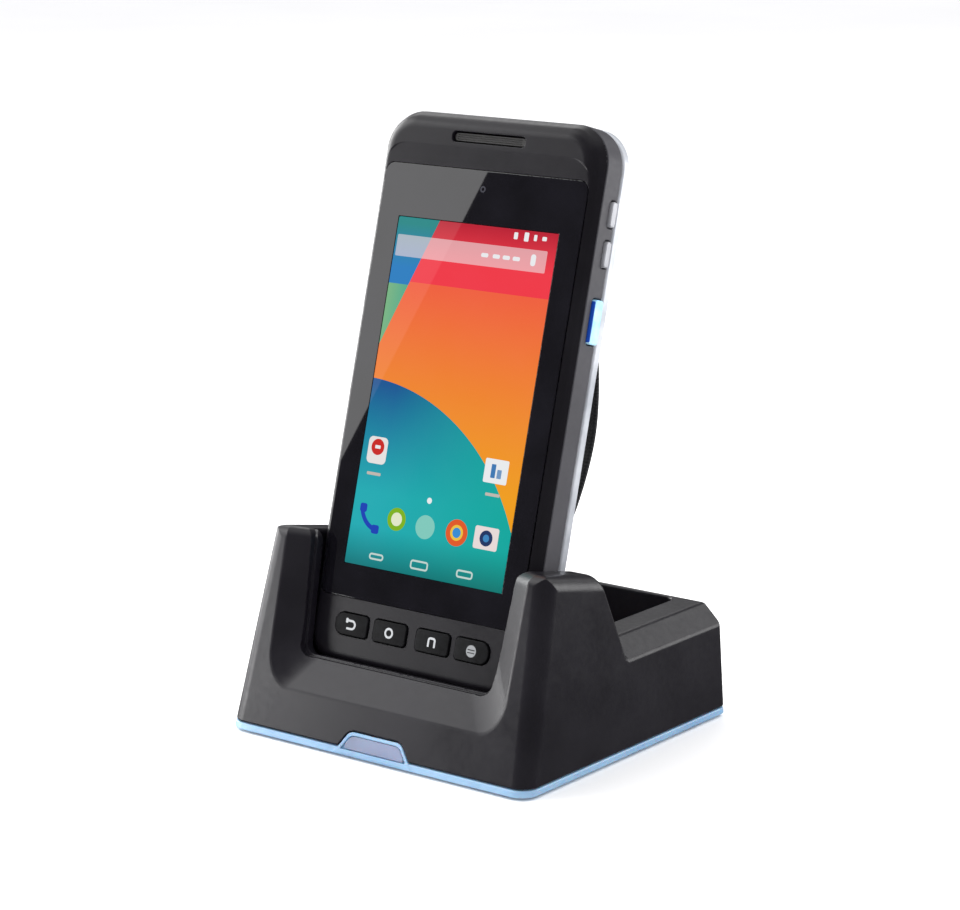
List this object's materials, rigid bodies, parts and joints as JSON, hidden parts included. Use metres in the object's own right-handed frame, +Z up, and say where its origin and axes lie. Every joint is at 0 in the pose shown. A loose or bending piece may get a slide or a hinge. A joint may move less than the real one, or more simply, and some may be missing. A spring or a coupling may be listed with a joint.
{
  "type": "handheld data terminal in a charging cradle",
  "caption": "Rugged handheld personal digital assistant with touch screen, keys, scan trigger and hand strap, leaning back in a U-fronted desktop charging cradle.",
  "frame": {"origin": "centre of the cradle's footprint, on the surface that its feet stand on", "axes": "+Z up, +X to the right of a person who faces the screen, -Y towards that person"},
  "size_m": [0.1112, 0.102, 0.1813],
  "materials": {
    "charcoal_plastic": "fine matte texture",
    "grey_plastic": "satin",
    "black_plastic": "satin",
    "silver_trim": "satin",
    "black_glass": "polished",
    "display": "lit panel behind polished glass",
    "blue_light": "translucent",
    "blue_key": "satin",
    "rubber": "matte",
    "steel": "satin",
    "gold": "plated",
    "board": "solder mask",
    "battery": "wrapped cell pack",
    "webbing": "woven"
  },
  "bodies": {
    "cradle": {"cradle_housing": "charcoal_plastic", "light_strip": "blue_light", "indicator_lens": "blue_light", "base_plate": "black_plastic", "rubber_foot_1": "rubber", "rubber_foot_2": "rubber", "rubber_foot_3": "rubber", "rubber_foot_4": "rubber", "base_screw_1": "steel", "base_screw_2": "steel", "base_screw_3": "steel", "base_screw_4": "steel", "cradle_board": "board", "dock_pin_carrier": "black_plastic", "dock_pins": "gold", "well_contacts": "gold", "power_inlet": "black_plastic", "data_port": "steel"},
    "terminal": {"front_housing": "charcoal_plastic", "mid_frame": "grey_plastic", "trim_band": "silver_trim", "back_cover": "charcoal_plastic", "touch_glass": "black_glass", "display_panel": "display", "earpiece_grille": "black_plastic", "front_camera": "black_glass", "keypad_board": "board", "main_board": "board", "battery_pack": "battery", "battery_door": "charcoal_plastic", "scan_engine": "black_plastic", "scan_window": "black_glass", "speaker": "black_plastic", "rear_camera": "black_plastic", "camera_window": "black_glass", "dock_contacts": "gold", "upper_strap_anchor": "charcoal_plastic", "lower_strap_anchor": "charcoal_plastic", "hand_strap": "webbing", "back_screw_1": "steel", "back_screw_2": "steel", "back_screw_3": "steel", "back_screw_4": "steel"},
    "back_key": {"back_key": "black_plastic"},
    "home_key": {"home_key": "black_plastic"},
    "menu_key": {"menu_key": "black_plastic"},
    "web_key": {"web_key": "black_plastic"},
    "upper_side_button": {"upper_side_button": "silver_trim"},
    "lower_side_button": {"lower_side_button": "silver_trim"},
    "scan_trigger": {"scan_trigger": "blue_key"}
  },
  "joints": [
    {"name": "lift_out", "type": "slide", "parent": "cradle", "child": "terminal", "axis": [0, 0.2588, 0.9659], "range_m": [0, 0.06]},
    {"name": "back_key_press", "type": "slide", "parent": "terminal", "child": "back_key", "axis": [0, 0.9659, -0.2588], "range_m": [0, 0.0005], "stiffness_N_per_m": 900},
    {"name": "home_key_press", "type": "slide", "parent": "terminal", "child": "home_key", "axis": [0, 0.9659, -0.2588], "range_m": [0, 0.0005], "stiffness_N_per_m": 900},
    {"name": "menu_key_press", "type": "slide", "parent": "terminal", "child": "menu_key", "axis": [0, 0.9659, -0.2588], "range_m": [0, 0.0005], "stiffness_N_per_m": 900},
    {"name": "web_key_press", "type": "slide", "parent": "terminal", "child": "web_key", "axis": [0, 0.9659, -0.2588], "range_m": [0, 0.0005], "stiffness_N_per_m": 900},
    {"name": "upper_side_button_press", "type": "slide", "parent": "terminal", "child": "upper_side_button", "axis": [-1, 0, 0], "range_m": [0, 0.0005], "stiffness_N_per_m": 1200},
    {"name": "lower_side_button_press", "type": "slide", "parent": "terminal", "child": "lower_side_button", "axis": [-1, 0, 0], "range_m": [0, 0.0005], "stiffness_N_per_m": 1200},
    {"name": "scan_trigger_press", "type": "slide", "parent": "terminal", "child": "scan_trigger", "axis": [-1, 0, 0], "range_m": [0, 0.0006], "stiffness_N_per_m": 1200}
  ]
}
